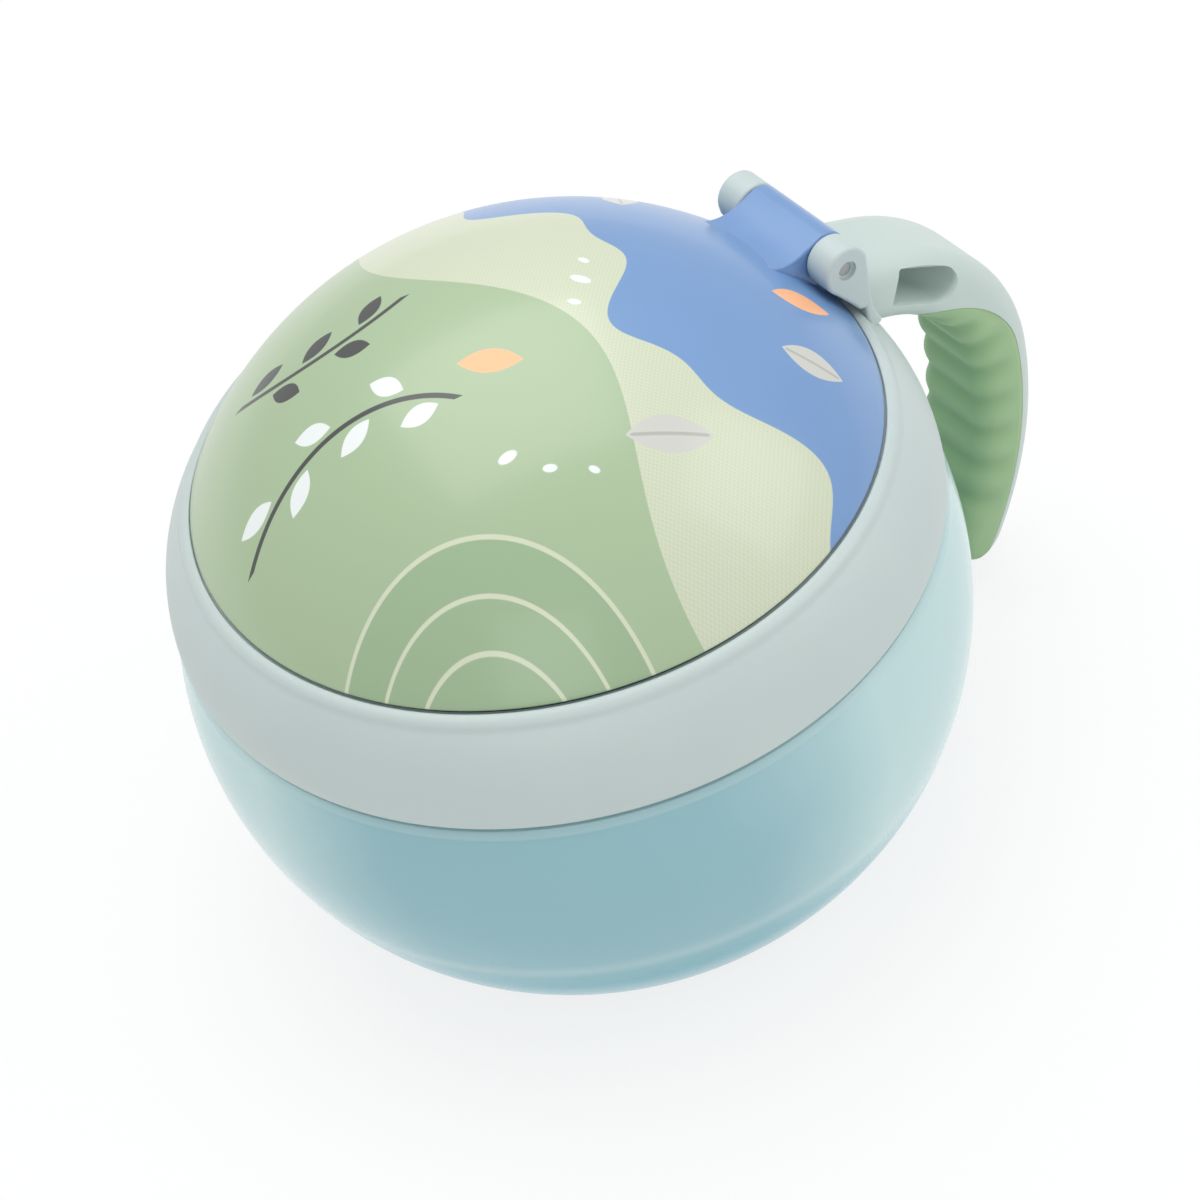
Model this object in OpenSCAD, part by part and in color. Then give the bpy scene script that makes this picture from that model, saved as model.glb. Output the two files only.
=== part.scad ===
// Toddler snack container: a translucent bowl, a screw collar with a moulded
// handle, a domed flip lid on a steel pin, and a soft flap under the lid.
// Millimetres. +Z is up, the bowl stands on z = 0 with its axis on Z.
// The handle and the lid's hinge are on the +Y side.

/* [Bowl] */
// Largest outer radius of the bowl's belly
belly_r = 51.6; // [48:0.1:56]
// Height of the belly's widest circle
belly_z = 35; // [32:0.5:37]
// Radius of the round that forms the belly's side
belly_round = 47.5; // [44:0.5:60]
// Radius of the round between the side and the foot
foot_round = 5.1; // [3:0.1:7]
// Height of the shoulder that the collar stops over
shoulder_z = 48.5; // [44:0.1:52]
// Round at the shoulder's and the neck's edge
shoulder_edge = 0.5; // [0.3:0.1:1]
// Wall of the bowl
bowl_wall = 2.4; // [1.6:0.1:3]
// Thickness of the bowl's floor
floor_t = 3.2; // [2:0.1:4.5]
// Outer radius of the threaded neck
neck_r = 42; // [40:0.1:42.6]
// Height of the neck above the shoulder
neck_h = 9; // [7:0.1:11]
// Wall of the neck
neck_wall = 2.2; // [1.6:0.1:3]

/* [Collar] */
// Width of the collar's shoulder, beside the lid
shoulder_w = 1.4; // [1.2:0.1:1.8]
// How far the lower edge stands out beyond the shoulder
collar_flare = 4.6; // [3.8:0.1:5.4]
// Round along the collar's lower edge
collar_edge = 1.2; // [0.6:0.1:1.8]
// Height of the collar's outer band
band_h = 14.4; // [13.6:0.1:15]
// How far the band swells beyond a straight cone
band_swell = 1.2; // [0.6:0.1:1.6]
// Round along the top of the collar's shoulder
rim_edge = 0.7; // [0.4:0.1:0.9]
// Skin of the collar
skin = 2; // [1.4:0.1:2.4]
// Width of the hollow behind the skin, at its narrow top
pocket_w = 0.6; // [0.4:0.1:1]
// Wall of the inner ring that carries the thread
thread_wall = 1.8; // [1.4:0.1:2.2]
// Radial gap between the neck and the collar's bore, where the threads mesh
thread_gap = 1.8; // [1.5:0.1:2]
// Thickness of the deck over the bowl's mouth
deck_t = 2.2; // [1.6:0.1:2.6]
// How far the mouth in the deck lies inside the neck's outer side
mouth_in = 7; // [6.2:0.1:9]
// Wall of the raised rim round the mouth
mouth_wall = 1.8; // [1.2:0.1:2.4]
// Height of that rim above the deck
mouth_h = 1.9; // [1.6:0.1:2]
// Chamfer round the mouth's rim
mouth_edge = 0.4; // [0.2:0.1:0.8]
// How far the ledge under the lid's lip lies below the collar's top
ledge_d = 0.5; // [0.4:0.1:1]

/* [Lid] */
// How far the lid's lip lies inside the collar's bore
lid_in = 0.3; // [0.2:0.1:0.9]
// Height of the dome above the lip's lower edge
dome_h = 24.8; // [20:0.1:27]
// Height of the upright edge under the dome
lip_h = 1; // [0.8:0.1:1.4]
// Wall of the dome
lid_wall = 1.8; // [1.2:0.1:2.4]
// How far the lip stands out over the skirt
lip_over = 0.9; // [0.7:0.1:1.4]
// Depth of the skirt below the lip
skirt_d = 1.6; // [1:0.1:2]
// Wall of the skirt
skirt_wall = 1.4; // [1:0.1:1.8]
// Wall of the plug ring that drops into the mouth
plug_wall = 1.4; // [1:0.1:1.8]
// How far the plug reaches below the mouth's rim
plug_d = 1.5; // [1:0.1:1.5]

/* [Hinge] */
// How far the pin lies inside the lid's lip
pin_in = 1.1; // [0.4:0.1:1.3]
// Height of the pin above the lid's lip
pin_rise = 8.3; // [8:0.1:9]
// Radius of the steel pin
pin_r = 1; // [0.8:0.05:1.2]
// Outer radius of the knuckle and of the ears
barrel_r = 3.2; // [2.8:0.1:3.4]
// Width of the lid's knuckle
knuckle_w = 14; // [10:0.1:16]
// Thickness of each ear
ear_t = 4.3; // [3:0.1:5]
// How deep the ears are rooted in the collar
ear_root = 3; // [2:0.1:4]
// Depth of the recess at each end of the pin
pin_recess = 0.5; // [0.3:0.1:1]
// Length of the strap's flat top, from the dome to above the pin
strap_l = 5.9; // [4.4:0.1:8]
// How far inside the lid's lip the strap's underside meets the dome
strap_under = 2.5; // [1.8:0.1:3.2]
// How far the strap runs on inside the dome, so that they are one piece
strap_root = 3.2; // [2.4:0.1:4]

/* [Handle] */
// Width of the handle
handle_w = 15; // [12:0.1:18]
// Thickness of the handle
handle_t = 9.6; // [8.6:0.1:11]
// Corner radius of the handle's section
handle_round = 3.6; // [2:0.1:4.2]
// How far the handle's middle line starts inside the collar's shoulder
handle_in = 0.2; // [0:0.1:1]
// Height of that start above the bowl's shoulder
handle_rise = 13.3; // [12.6:0.1:14]
// Fall of the straight part at the root, in degrees
root_fall = 22.6; // [18:0.1:27]
// Length of the straight part
root_l = 8; // [6:0.1:12]
// Radius of the upper bend's middle line
bend_r = 24.8; // [22:0.1:27]
// Heading at the end of the upper bend, in degrees below level
bend_end = 87.2; // [80:0.1:92]
// Radius of the long lower bow
bow_r = 50.2; // [46:0.1:56]
// Heading at the handle's tip, in degrees below level
bow_end = 121; // [112:0.5:123]
// Length of the slot near the hinge
slot_l = 9.8; // [7:0.1:10.5]
// Height of the slot
slot_h = 4.9; // [3.5:0.1:5.2]
// Distance of the slot's middle along the handle, from its start
slot_at = 12; // [11.5:0.1:13]
// How far the slot lies towards the handle's back
slot_out = 0.8; // [0:0.1:1]

/* [Grip] */
// Thickness of the hard shell along the handle's back, over the grip
shell_back = 2.9; // [2:0.1:3.4]
// Heading, in degrees below level, where the grip's inner side begins
grip_angle = 35; // [32:1:44]
// Heading where the grip has its full thickness
full_angle = 82; // [70:1:84]
// Number of soft ribs along the grip
rib_count = 9; // [5:1:11]
// Depth of the grooves between the ribs
rib_d = 0.7; // [0.3:0.1:1]
// Radius of each groove
groove_r = 2.3; // [1.6:0.1:2.8]
// Seam between the soft grip and the hard shell
grip_seam = 0.06; // [0.04:0.01:0.15]

/* [Flap] */
// Thickness of the flap's clamped rim
flap_rim_t = 1.5; // [1:0.1:2]
// Thickness of the soft leaves
flap_t = 1; // [0.7:0.1:1.4]
// Number of leaves
leaf_count = 8; // [5:1:12]
// Width of the slits between the leaves
slit_w = 0.5; // [0.3:0.1:1]
// Radius of the round hole in the middle
flap_hole_r = 4; // [2:0.5:8]
// Distance from the slits' ends to the mouth
slit_end = 4; // [3:0.5:9]

/* [Clearances] */
// Gap between the collar's lower edge and the bowl's shoulder
collar_gap = 0.3; // [0.2:0.1:0.6]
// Gap between the knuckle and each ear
ear_gap = 0.15; // [0.1:0.05:0.3]
// Radial running clearance of the pin in the lid's knuckle
knuckle_fit = 0.08; // [0.04:0.01:0.1]
// Radial clearance of the pin in the collar's ears
ear_fit = 0.02; // [0.01:0.01:0.04]
// Gap under the lid's skirt
seat_gap = 0.3; // [0.2:0.1:0.5]
// Radial gap between the lid's plug and the mouth's rim
plug_gap = 0.6; // [0.5:0.1:0.8]
// Radial gap between the lid's lip and the collar's shoulder
lip_gap = 0.5; // [0.4:0.1:0.8]
// Radial gap between the flap's rim and the collar's bore
flap_gap = 0.6; // [0.3:0.1:1]

/* [Hidden] */
$fn = 96;
arc_steps = 12;
hair = 0.04;
over = 1;

neck_z = shoulder_z + neck_h;
flap_z = neck_z;
deck_z = flap_z + flap_rim_t;
deck_top = deck_z + deck_t;
mouth_top = deck_top + mouth_h;
collar_z = shoulder_z + collar_gap;
band_z = collar_z + band_h;
bore_r = neck_r + thread_gap;
lid_r = bore_r - lid_in;
rim_r = lid_r + lip_gap;
collar_top_r = rim_r + shoulder_w;
collar_r = collar_top_r + collar_flare;
mouth_r = neck_r - mouth_in;
slit_r = mouth_r - slit_end;
skirt_r = lid_r - lip_over;
skirt_z = deck_top + seat_gap;
lip_z = skirt_z + skirt_d;
cap_h = dome_h - lip_h;
dome_r = (lid_r * lid_r + cap_h * cap_h) / (2 * cap_h);
dome_top = lip_z + dome_h;
dome_z = dome_top - dome_r;
pin_y = lid_r - pin_in;
pin_z = lip_z + pin_rise;
strap_y = pin_y - strap_l;
ear_in = knuckle_w / 2 + ear_gap;
hinge_w = 2 * ear_in + 2 * ear_t;
handle_y = collar_top_r - handle_in;
handle_z = shoulder_z + handle_rise;
// radius behind which the collar's fixed parts stay clear of the turning lid
rear_r = rim_r + 0.3;

// points of an arc about c, from angle a to angle b
function arc(c, r, a, b, n = arc_steps) =
    [for (i = [0:n]) c + r * [cos(a + (b - a) * i / n), sin(a + (b - a) * i / n)]];
// a list without its first point
function tail(l) = [for (i = [1:len(l) - 1]) l[i]];
// the arc from p to q that swells to its left by s
function swell(p, q, s, n = arc_steps) =
    let (d = q - p, l = norm(d), r = (l * l / 4 + s * s) / (2 * s),
         m = (p + q) / 2, u = [-d[1], d[0]] / l, c = m - u * (r - s),
         a = atan2(p[1] - c[1], p[0] - c[0]), e = atan2(q[1] - c[1], q[0] - c[0]))
    arc(c, abs(r), a, e, n);

// the belly's outline, offset inwards by w, from height z0 to z1
function belly(w, z0, z1, n = 2 * arc_steps) =
    let (r = belly_round - w, c = [belly_r - belly_round, belly_z],
         a = asin((z0 - belly_z) / r), b = asin((z1 - belly_z) / r))
    arc(c, r, a, b, n);

// the foot's round meets the belly where both have the same tangent
foot_k = (belly_z - foot_round) / (belly_round - foot_round);
foot_a = -asin(foot_k);
foot_c = [belly_r - belly_round + (belly_round - foot_round) * cos(foot_a), foot_round];

module bowl() {
    inner_round = foot_round - bowl_wall;
    shoulder_in = belly(0, shoulder_z - 1, shoulder_z)[2 * arc_steps][0] - neck_r - shoulder_edge;
    color("#a4cdd2", 0.8) rotate_extrude() polygon(concat(
        [[0, 0]],
        arc(foot_c, foot_round, -90, foot_a, 6),
        tail(belly(0, belly_z + belly_round * sin(foot_a), shoulder_z - shoulder_edge)),
        [[neck_r + shoulder_in, shoulder_z], [neck_r, shoulder_z],
         [neck_r, neck_z - shoulder_edge], [neck_r - shoulder_edge, neck_z],
         [neck_r - neck_wall, neck_z], [neck_r - neck_wall, shoulder_z - bowl_wall]],
        belly(bowl_wall, shoulder_z - bowl_wall, floor_t + inner_round),
        arc([foot_c[0], floor_t + inner_round], inner_round, foot_a, -90, 4),
        [[0, floor_t]]));
}

// the soft disc that the collar clamps on the bowl's neck, slit into leaves
module flap() {
    rim_in = mouth_r - 1.5;
    leaf_z = deck_z - flap_t;
    color("#e9eeea") difference() {
        rotate_extrude() polygon([
            [0, leaf_z], [rim_in, leaf_z], [rim_in + 1, flap_z], [bore_r - flap_gap, flap_z],
            [bore_r - flap_gap, deck_z], [0, deck_z]]);
        translate([0, 0, leaf_z - over]) cylinder(r = flap_hole_r, h = flap_t + 2 * over);
        for (i = [0:leaf_count - 1]) rotate(i * 360 / leaf_count)
            translate([0, -slit_w / 2, leaf_z - over]) cube([slit_r, slit_w, flap_t + 2 * over]);
    }
}

// the collar's outer skin as points, from the lower edge up to the shoulder
function collar_skin() = concat(
    arc([collar_r - collar_edge, collar_z + collar_edge], collar_edge, -90, 0, 6),
    tail(swell([collar_r, collar_z + collar_edge], [collar_top_r, band_z - rim_edge], -band_swell)),
    tail(arc([collar_top_r - rim_edge, band_z - rim_edge], rim_edge, 0, 90, 4)));

// the solid that the collar's skin bounds
module collar_form() {
    rotate_extrude() polygon(concat([[0, collar_z]], collar_skin(), [[0, band_z]]));
}

// the ear's outline beside the knuckle, in the Y-Z plane: its front follows the closed dome
module ear_outline() {
    back = pin_y + barrel_r;
    foot = band_z - ear_root;
    front_r = sqrt(pow(dome_r + lip_gap, 2) - ear_in * ear_in);
    a = asin((lip_z + lip_h - dome_z) / front_r);
    b = atan2(pin_z - dome_z, pin_y);
    polygon(concat(
        [[pin_y, pin_z + barrel_r], [back, pin_z], [back - 0.4, foot], [mouth_r, foot],
         [mouth_r, lip_z + lip_h]],
        arc([0, dome_z], front_r, a, b, 4),
        [[pin_y - barrel_r, pin_z]]));
}

module ear(x0) {
    difference() {
        translate([x0, 0, 0]) upright() linear_extrude(ear_t) ear_outline();
        cylinder(r = rim_r, h = lip_z + lip_h);
    }
    translate([x0, pin_y, pin_z]) rotate([0, 90, 0]) cylinder(r = barrel_r, h = ear_t);
}

module collar() {
    ledge_z = band_z - ledge_d;
    ledge_r = skirt_r + plug_gap;
    pocket_z = flap_z;
    pocket_swell = band_swell / 2;
    color("#c1d1cf") difference() {
        union() {
            rotate_extrude() polygon(concat(
                [[bore_r, collar_z + 0.6], [bore_r + 0.4, collar_z + 0.2],
                 [bore_r + thread_wall, collar_z + 0.2], [bore_r + thread_wall, pocket_z]],
                swell([bore_r + thread_wall + pocket_w, pocket_z], [collar_r - skin, collar_z], pocket_swell),
                collar_skin(),
                [[rim_r, band_z], [rim_r, ledge_z], [ledge_r, ledge_z], [ledge_r, deck_top],
                 [mouth_r + mouth_wall, deck_top],
                 [mouth_r + mouth_wall, mouth_top - mouth_edge],
                 [mouth_r + mouth_wall - mouth_edge, mouth_top],
                 [mouth_r, mouth_top], [mouth_r, deck_z], [bore_r, deck_z]]));
            for (x = [ear_in, -ear_in - ear_t]) ear(x);
        }
        translate([-hinge_w / 2 - 1, pin_y, pin_z]) rotate([0, 90, 0])
            cylinder(r = pin_r + ear_fit, h = hinge_w + 2);
        for (s = [-1, 1]) translate([s * (hinge_w / 2 - pin_recess / 2), pin_y, pin_z]) rotate([0, 90, 0])
            cylinder(r = pin_r + 0.3, h = pin_recess + 0.01, center = true);
    }
}

module hinge_pin() {
    l = hinge_w - 2 * pin_recess;
    color("#9a9c9a") translate([-l / 2, pin_y, pin_z]) rotate([0, 90, 0]) cylinder(r = pin_r, h = l);
}

// outward unit vector of the handle's middle line where it heads g degrees below level
function out(g) = [sin(g), cos(g)];
bend_in = [handle_y, handle_z] + root_l * [cos(root_fall), -sin(root_fall)];
bend_c = bend_in - bend_r * out(root_fall);
bow_c = bend_c + (bend_r - bow_r) * out(bend_end);
tip = bow_c + bow_r * out(bow_end);
// length along the middle line of a stretch of bend or bow
function along(r, from, to) = r * (to - from) * PI / 180;

// the rounded outer half of the handle's section, smaller by d all round:
// x is the distance outwards, y runs across
function half_section(d = 0) =
    let (t = handle_t / 2 - d, w = handle_w / 2 - d, k = handle_round - d)
    concat(arc([t - k, k - w], k, -90, 0, 5), arc([t - k, w - k], k, 0, 90, 5));
// the whole section, its middle r from the centre of a bend
function section(r, d = 0) = concat([for (p = half_section(d)) [r + p[0], p[1]]],
                                    [for (p = half_section(d)) [r - p[0], -p[1]]]);

// lays a shape drawn with x along Y, y along Z and z along X
module upright() { rotate([90, 0, 90]) children(); }

// the handle's outside: a straight root, an upper bend, a long bow and a round tip;
// each piece ends a hair inside its neighbour
module handle_form() {
    back = 3;
    lap = 0.5;
    upright() {
        translate(bend_in) rotate(-root_fall) translate([-root_l - back, 0, 0]) rotate([90, 0, 90])
            linear_extrude(root_l + back + lap) polygon(section(0, hair));
        translate(bend_c) rotate(90 - bend_end)
            rotate_extrude(angle = bend_end - root_fall) polygon(section(bend_r));
        translate(bow_c) rotate(90 - bow_end)
            rotate_extrude(angle = bow_end - bend_end + lap) polygon(section(bow_r, hair));
        translate(tip) rotate_extrude() polygon(
            concat([[0, 2 * hair - handle_w / 2]], half_section(2 * hair), [[0, handle_w / 2 - 2 * hair]]));
    }
}

// distance of the grip's edge outwards from the middle line, at heading g
shell_n = handle_t / 2 - shell_back;
function edge_n(g) = shell_n - (shell_n + handle_t / 2) *
    pow(max(0, (full_angle - g) / (full_angle - grip_angle)), 1.6);

// the part of the handle that the soft grip fills, as a block across its width; d widens it
// by the seam, and no corner of it lies where two pieces of the handle meet
module grip_block(d) {
    last = arc_steps - 1;
    step = (bend_end - grip_angle) / arc_steps;
    drop = (bow_end - bend_end) / arc_steps;
    ahead = handle_t * [cos(bow_end), -sin(bow_end)];
    upright() translate([0, 0, -handle_w]) linear_extrude(2 * handle_w) polygon(concat(
        [for (i = [0:last]) let (g = grip_angle + i * step)
            bend_c + (bend_r + edge_n(g) + d) * out(g)],
        [for (i = [1:last]) let (g = bend_end + i * drop)
            bow_c + (bow_r + shell_n + d) * out(g)],
        [tip + (shell_n + d) * out(bow_end) + ahead, tip - handle_t * out(bow_end) + ahead],
        [for (i = [last:-1:1]) bow_c + (bow_r - handle_t) * out(bend_end + i * drop)],
        [for (i = [last:-1:0]) bend_c + (bend_r - handle_t) * out(grip_angle - d + i * step)]));
}

// the slot for a strap: square towards the hinge, round towards the grip
module slot() {
    g = root_fall + (slot_at - root_l) / bend_r * 180 / PI;
    upright() translate(bend_c + (bend_r + slot_out) * out(g)) rotate(-g)
        translate([0, 0, -handle_w]) linear_extrude(2 * handle_w) {
            translate([-slot_l / 2, -slot_h / 2]) square([slot_l - slot_h / 2, slot_h]);
            translate([slot_l / 2 - slot_h / 2, 0]) circle(r = slot_h / 2);
        }
}

module handle() {
    color("#c3d0cc") difference() {
        handle_form();
        collar_form();
        translate([0, 0, shoulder_z]) cylinder(r = rear_r, h = dome_h * 2);
        for (s = [-1, 1]) translate([s * (ear_in + ear_t / 2), pin_y + barrel_r - ear_t, pin_z])
            cube([ear_t, 2 * ear_t, 4 * ear_t], center = true);
        grip_block(grip_seam);
        slot();
    }
}

// the soft moulding on the handle's inner side, with a groove between each two ribs
module grip() {
    bend_l = along(bend_r, grip_angle, bend_end);
    grip_l = bend_l + along(bow_r, bend_end, bow_end);
    deep = handle_t / 2 + groove_r - rib_d;
    color("#8aab80") difference() {
        intersection() {
            handle_form();
            grip_block(0);
        }
        for (i = [1:rib_count - 1]) {
            s = i / rib_count * grip_l;
            g = s < bend_l ? grip_angle + s / bend_r * 180 / PI
                           : bend_end + (s - bend_l) / bow_r * 180 / PI;
            at = s < bend_l ? bend_c + (bend_r - deep) * out(g) : bow_c + (bow_r - deep) * out(g);
            upright() translate([at[0], at[1], -handle_w]) cylinder(r = groove_r, h = 2 * handle_w);
        }
    }
}

// points of the dome, offset inwards by w, from radius r0 to radius r1
function dome(w, r0, r1, n = arc_steps) =
    arc([0, dome_top - dome_r], dome_r - w, acos(r0 / (dome_r - w)), acos(r1 / (dome_r - w)), n);

module lid() {
    plug_r = mouth_r - plug_gap;
    plug_z = mouth_top - plug_d;
    e = lip_h * 0.7;
    color("#85a4cb") difference() {
        union() {
            rotate_extrude() polygon(concat(
                dome(0, 0, lid_r),
                tail(arc([lid_r - e, lip_z + e], e, 0, -90, 4)),
                [[skirt_r, lip_z], [skirt_r, skirt_z], [skirt_r - skirt_wall, skirt_z]],
                dome(lid_wall, skirt_r - skirt_wall, plug_r, 4),
                [[plug_r, plug_z], [plug_r - plug_wall, plug_z]],
                dome(lid_wall, plug_r - plug_wall, 0)));
            difference() {
                translate([-knuckle_w / 2, 0, 0]) upright() linear_extrude(knuckle_w) strap_outline();
                rotate_extrude() polygon(concat([[0, shoulder_z]], [[dome_r - lid_wall - 2, shoulder_z]],
                    dome(lid_wall, dome_r - lid_wall - 2, 0)));
            }
            translate([-knuckle_w / 2, pin_y, pin_z]) rotate([0, 90, 0]) cylinder(r = barrel_r, h = knuckle_w);
        }
        translate([-knuckle_w / 2 - 1, pin_y, pin_z]) rotate([0, 90, 0])
            cylinder(r = pin_r + knuckle_fit, h = knuckle_w + 2);
    }
}

// the strap that joins the dome to the knuckle, in the Y-Z plane: its flat top meets the dome
// at strap_y and runs on a little inside the wall
module strap_outline() {
    crease = dome(0, strap_y, strap_y + 1)[0];
    end = [pin_y, pin_z + barrel_r];
    start = crease - strap_root * (end - crease) / norm(end - crease);
    low = dome(0, lid_r - strap_under, lid_r)[0];
    polygon([[start[0], start[1] - 1], start, end, [pin_y, pin_z - barrel_r],
             low, [low[0] - 1, low[1]]]);
}

bowl();
flap();
collar();
handle();
grip();
hinge_pin();
lid();
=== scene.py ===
# %% [markdown]
# # A toddler's snack container
# The cup has a translucent bowl, a pale screw collar with a handle moulded on it, a domed flip
# lid on a steel pin, and a soft slit flap under the lid. Its solids come in as a fixed frame.
# Each step below makes one piece of it with the shape and the surface of the real one, in
# metres, and sets it where the frame has it.

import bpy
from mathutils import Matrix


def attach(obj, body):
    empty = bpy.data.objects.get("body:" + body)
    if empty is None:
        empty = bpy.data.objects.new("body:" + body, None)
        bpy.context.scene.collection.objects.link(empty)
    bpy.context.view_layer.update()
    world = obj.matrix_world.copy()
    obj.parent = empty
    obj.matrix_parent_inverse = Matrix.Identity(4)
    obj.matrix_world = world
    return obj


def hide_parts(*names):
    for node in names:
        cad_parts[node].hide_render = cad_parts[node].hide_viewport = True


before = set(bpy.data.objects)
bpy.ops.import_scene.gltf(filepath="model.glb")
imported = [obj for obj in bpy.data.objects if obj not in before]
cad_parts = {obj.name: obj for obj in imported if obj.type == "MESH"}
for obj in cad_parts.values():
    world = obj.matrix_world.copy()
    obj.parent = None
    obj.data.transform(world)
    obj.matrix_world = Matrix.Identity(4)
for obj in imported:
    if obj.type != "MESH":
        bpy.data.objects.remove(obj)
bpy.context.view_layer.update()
print("nodes:", sorted(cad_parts))

# %% [markdown]
# ## Camera
# A product photographer works with a long lens from well away, so that a round cup keeps its
# shape. A camera could be aimed with a Track To constraint, but that keeps the horizon level, and
# this frame leans. The camera is therefore given by its three directions, a distance and a 96 mm
# lens. The small shift stands for a frame that was cropped a little off the lens's middle.

# %% Set up the camera
import math
from collections import Counter

import bpy
from mathutils import Matrix, Vector

MM = 0.001
azimuth, elevation, roll = (math.radians(a) for a in (66.59, 45.12, -15.87))
back = Vector((math.sin(azimuth) * math.cos(elevation),
               -math.cos(azimuth) * math.cos(elevation), math.sin(elevation)))
level = Vector((math.cos(azimuth), math.sin(azimuth), 0))
steep = back.cross(level)
right = level * math.cos(roll) + steep * math.sin(roll)
upward = steep * math.cos(roll) - level * math.sin(roll)
lens = bpy.data.cameras.new("product_camera")
lens.lens, lens.sensor_width = 96, 36
lens.shift_x, lens.shift_y = 0.0503, 0.0263
lens.clip_start, lens.clip_end = 0.01, 10
camera = bpy.data.objects.new("product_camera", lens)
bpy.context.scene.collection.objects.link(camera)
DISTANCE = 418.3
aim = Vector((-1.31, -5.30, 32.64)) * MM
turn = Matrix((right, upward, back)).transposed().to_4x4()
camera.matrix_world = Matrix.Translation(aim + back * DISTANCE * MM) @ turn
bpy.context.scene.camera = camera
bpy.context.scene.view_settings.view_transform = "Standard"
print("camera at", [round(v, 3) for v in camera.matrix_world.translation])

# %% [markdown]
# ## Light
# The cup stands in a light tent: soft light from all round, a large lamp high at the left that
# models the dome, one behind that draws the handle's edge, and a weak one in front that opens
# the shadows. Small lamps would give hard, bright spots. Wide ones give gloss a broad, quiet
# shine, and they hang well above the table, so that none lights a stripe on it.

# %% Hang the lamps
def lamp(name, place, size, watts):
    """A square soft lamp at place, in metres, that looks at the cup's middle."""
    light = bpy.data.lights.new(name, "AREA")
    light.size, light.energy = size, watts
    hung = bpy.data.objects.new(name, light)
    bpy.context.scene.collection.objects.link(hung)
    hung.location = place
    hung.rotation_euler = (aim - hung.location).to_track_quat("-Z", "Y").to_euler()
    print(name, "shines with", watts, "W")


lamp("key_lamp", (-0.20, 0.05, 0.75), 0.7, 3.2)
lamp("side_lamp", (0.45, 0.60, 0.55), 0.5, 1.3)
lamp("fill_lamp", (0.60, -0.45, 0.45), 0.4, 0.7)

# %% [markdown]
# ## Finishes as expressions
# A shader is a small piece of arithmetic over the surface. A socket wrapped in a class with
# the usual operators lets a finish read as a sum, such as `1 - mask`, and each operator adds
# one Math node. All other nodes come from one method, so a finish stays a short list.

# %% Wrap a socket
class Wire:
    """A socket in a finish, which can be used in sums."""

    def __init__(self, finish, socket):
        self.finish, self.socket = finish, socket

    def maths(self, operation, a, b=0.0, clamp=False):
        settings = {"operation": operation, "use_clamp": clamp}
        return self.finish.node("ShaderNodeMath", settings, {0: a, 1: b})

    def __add__(self, other):
        return self.maths("ADD", self, other)

    def __sub__(self, other):
        return self.maths("SUBTRACT", self, other)

    def __rsub__(self, other):
        return self.maths("SUBTRACT", other, self)

    def __mul__(self, other):
        return self.maths("MULTIPLY", self, other)

    def __truediv__(self, other):
        return self.maths("DIVIDE", self, other)

    def __pow__(self, other):
        return self.maths("POWER", self, other)

    __radd__, __rmul__ = __add__, __mul__

    def size(self):
        return self.maths("ABSOLUTE", self)

    def sine(self):
        return self.maths("SINE", self)

    def most(self, other):
        return self.maths("MAXIMUM", self, other)

    def held(self):
        """The value kept between 0 and 1."""
        return self.maths("ADD", self, 0.0, clamp=True)


print("a wire can be added, subtracted, multiplied, divided and raised to a power")

# %% Build a finish
class Finish:
    """A material that is built up from nodes."""

    def __init__(self, name):
        self.material = bpy.data.materials.new(name)
        self.material.use_nodes = True
        self.tree = self.material.node_tree
        self.tree.nodes.clear()

    def node(self, kind, settings=None, sockets=None, out=0):
        """Adds one node, makes its settings, then fills its sockets with values or wires."""
        made = self.tree.nodes.new(kind)
        for key, value in (settings or {}).items():
            setattr(made, key, value)
        for key, value in (sockets or {}).items():
            if isinstance(value, Wire):
                self.tree.links.new(value.socket, made.inputs[key])
            else:
                made.inputs[key].default_value = value
        return Wire(self, made.outputs[out]) if made.outputs else None

    def spot(self):
        """Where a point of the surface lies, as a vector in metres."""
        return self.node("ShaderNodeTexCoord", out="Object")

    def place(self):
        """The x, y and z of that point in millimetres."""
        spot = self.spot()
        parts = [self.node("ShaderNodeSeparateXYZ", sockets={0: spot}, out=i) for i in range(3)]
        return [part * (1 / MM) for part in parts]

    def noise(self, per_metre, detail):
        """Soft noise from 0 to 1, with per_metre cells to the metre."""
        return self.node("ShaderNodeTexNoise", {},
                         {"Vector": self.spot(), "Scale": per_metre, "Detail": detail})

    def mix(self, share, first, second):
        """The first colour where share is 0, the second where it is 1."""
        return self.node("ShaderNodeMix", {"data_type": "RGBA"},
                         {0: share, 6: first, 7: second}, out=2)

    def bump(self, height, depth_mm, strength):
        """A normal from a height of 0 to 1 that stands depth_mm high."""
        return self.node("ShaderNodeBump", {},
                         {"Strength": strength, "Distance": depth_mm * MM, "Height": height})

    def surface(self, **sockets):
        """Ends the finish in one plastic, metal or rubber surface; names use _ for spaces."""
        named = {key.replace("_", " "): value for key, value in sockets.items()}
        shader = self.node("ShaderNodeBsdfPrincipled", {}, named)
        self.node("ShaderNodeOutputMaterial", {}, {"Surface": shader})
        print(self.material.name, "has", len(self.tree.nodes), "nodes")
        return self.material


def srgb(red, green, blue):
    """A colour as it is read off a screen, from 0 to 255, turned into a linear one."""
    lin = [c / 255 / 12.92 if c <= 10 else ((c / 255 + 0.055) / 1.055) ** 2.4
           for c in (red, green, blue)]
    return (*lin, 1.0)


print("a mid grey of 128 is", round(srgb(128, 128, 128)[0], 3), "in linear light")

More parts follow.
